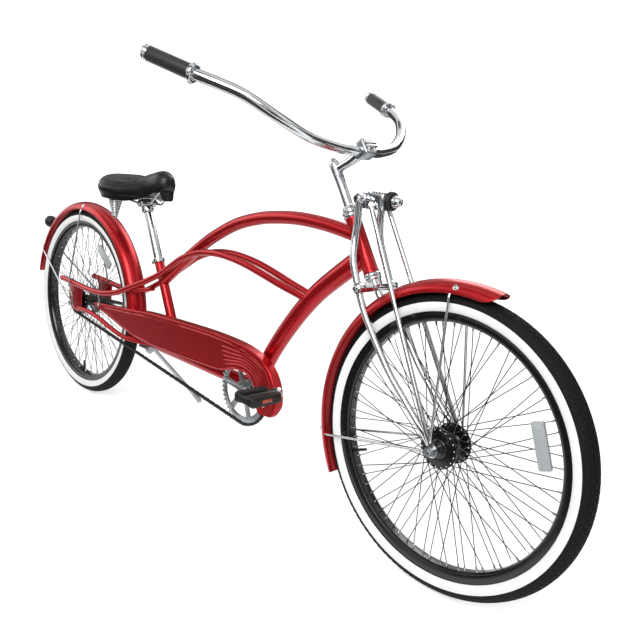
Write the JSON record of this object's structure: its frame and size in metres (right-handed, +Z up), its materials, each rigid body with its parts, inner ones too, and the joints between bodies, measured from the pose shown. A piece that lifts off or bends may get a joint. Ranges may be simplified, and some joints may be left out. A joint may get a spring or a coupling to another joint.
{
  "type": "bicycle",
  "caption": "Stretched beach cruiser bicycle with a curved-tube frame, springer fork, full fenders, chain guard, swept handlebar and side stand, leaning on its stand.",
  "frame": {"origin": "middle of the bounding box on the floor, the bicycle leaning on its side stand", "axes": "+X forward along the wheelbase, +Y to the bicycle's left where the stand is, +Z up from the floor"},
  "size_m": [2.266, 0.77, 1.1499],
  "materials": {
    "red_enamel": "gloss candy red enamel",
    "chrome": "bright chrome plate",
    "zinc_steel": "zinc plated steel",
    "black_enamel": "black enamel",
    "tyre_rubber": "black tyre with a white sidewall band",
    "grip_rubber": "ribbed black rubber",
    "saddle_vinyl": "grained black vinyl",
    "black_plastic": "moulded black plastic"
  },
  "bodies": {
    "frame": {"head_tube": "red_enamel", "headset_top_cup": "chrome", "headset_bottom_cup": "chrome", "top_tube": "red_enamel", "down_tube": "red_enamel", "lower_tube": "red_enamel", "twin_tube_right": "red_enamel", "twin_tube_left": "red_enamel", "seat_tube": "red_enamel", "seat_clamp": "chrome", "chainstay_right": "red_enamel", "chainstay_left": "red_enamel", "bottom_bracket_shell": "red_enamel", "chain_guard": "red_enamel", "rear_fender": "red_enamel", "rear_stay_right": "zinc_steel", "rear_stay_left": "zinc_steel", "tail_reflector": "black_plastic", "stand_bracket": "zinc_steel", "rear_axle": "zinc_steel", "chain": "zinc_steel"},
    "seat": {"seat_post": "chrome", "saddle_clamp": "chrome", "saddle_base": "zinc_steel", "saddle_cover": "saddle_vinyl", "saddle_spring_right": "chrome", "saddle_spring_left": "chrome"},
    "steering": {"fork_crown": "chrome", "headset_locknut": "chrome", "spring_bracket": "chrome", "stem": "chrome", "handlebar": "chrome", "grip_right": "grip_rubber", "grip_left": "grip_rubber", "grip_collar_right": "chrome", "grip_collar_left": "chrome"},
    "fork": {"fork_blade_right": "chrome", "fork_blade_left": "chrome", "truss_rod_right": "chrome", "truss_rod_left": "chrome", "spring_yoke": "chrome", "spring_cap": "black_plastic", "spring_bolt": "chrome", "coil_spring": "chrome", "front_axle": "zinc_steel", "front_fender": "red_enamel", "front_stay_right": "zinc_steel", "front_stay_left": "zinc_steel"},
    "front_wheel": {"front_tyre": "tyre_rubber", "front_rim": "black_enamel", "front_hub": "black_enamel"},
    "rear_wheel": {"rear_tyre": "tyre_rubber", "rear_rim": "black_enamel", "rear_hub": "black_enamel"},
    "sprocket": {"rear_sprocket": "zinc_steel"},
    "crankset": {"crank": "chrome", "chainring": "zinc_steel"},
    "right_pedal": {"pedal_right": "black_plastic"},
    "left_pedal": {"pedal_left": "black_plastic"},
    "stand": {"stand_leg": "zinc_steel"}
  },
  "joints": [
    {"name": "steering_turn", "type": "hinge", "parent": "frame", "child": "steering", "pos_m": [0.46854, -0.04047, 0.7735], "axis": [-0.5329, 0.109, 0.8391], "range_deg": [-40, 40]},
    {"name": "fork_rock", "type": "hinge", "parent": "steering", "child": "fork", "pos_m": [0.55904, -0.05921, 0.62921], "axis": [0, -0.9917, 0.1288], "range_deg": [0, 3], "stiffness_Nm_per_rad": 600, "springref_deg": -4.01, "deforming": ["coil_spring"]},
    {"name": "front_wheel_roll", "type": "hinge", "parent": "fork", "child": "front_wheel", "pos_m": [0.80004, -0.09805, 0.33023], "axis": [0, 0.9917, -0.1288], "continuous": true},
    {"name": "rear_wheel_roll", "type": "hinge", "parent": "frame", "child": "rear_wheel", "pos_m": [-0.77896, -0.09805, 0.33023], "axis": [0, 0.9917, -0.1288], "continuous": true},
    {"name": "crank_turn", "type": "hinge", "parent": "frame", "child": "crankset", "pos_m": [0.17804, -0.10487, 0.27767], "axis": [0, 0.9917, -0.1288], "continuous": true},
    {"name": "sprocket_turn", "type": "hinge", "parent": "frame", "child": "sprocket", "pos_m": [-0.77896, -0.09805, 0.33023], "axis": [0, 0.9917, -0.1288], "continuous": true},
    {"name": "right_pedal_spin", "type": "hinge", "parent": "crankset", "child": "right_pedal", "pos_m": [0.34217, -0.09869, 0.32526], "axis": [0, 0.9917, -0.1288], "continuous": true},
    {"name": "left_pedal_spin", "type": "hinge", "parent": "crankset", "child": "left_pedal", "pos_m": [0.01392, -0.11105, 0.23007], "axis": [0, 0.9917, -0.1288], "continuous": true},
    {"name": "seat_height", "type": "slide", "parent": "frame", "child": "seat", "axis": [-0.4472, 0.1152, 0.887], "range_m": [-0.06, 0.04]},
    {"name": "stand_swing", "type": "hinge", "parent": "frame", "child": "stand", "pos_m": [-0.40396, -0.07157, 0.23906], "axis": [0.0767, 0.8274, 0.5564], "range_deg": [0, 97.9]}
  ],
  "couplings": [
    {"joint": "sprocket_turn", "follows": "crank_turn", "ratio": 2.5556}
  ]
}
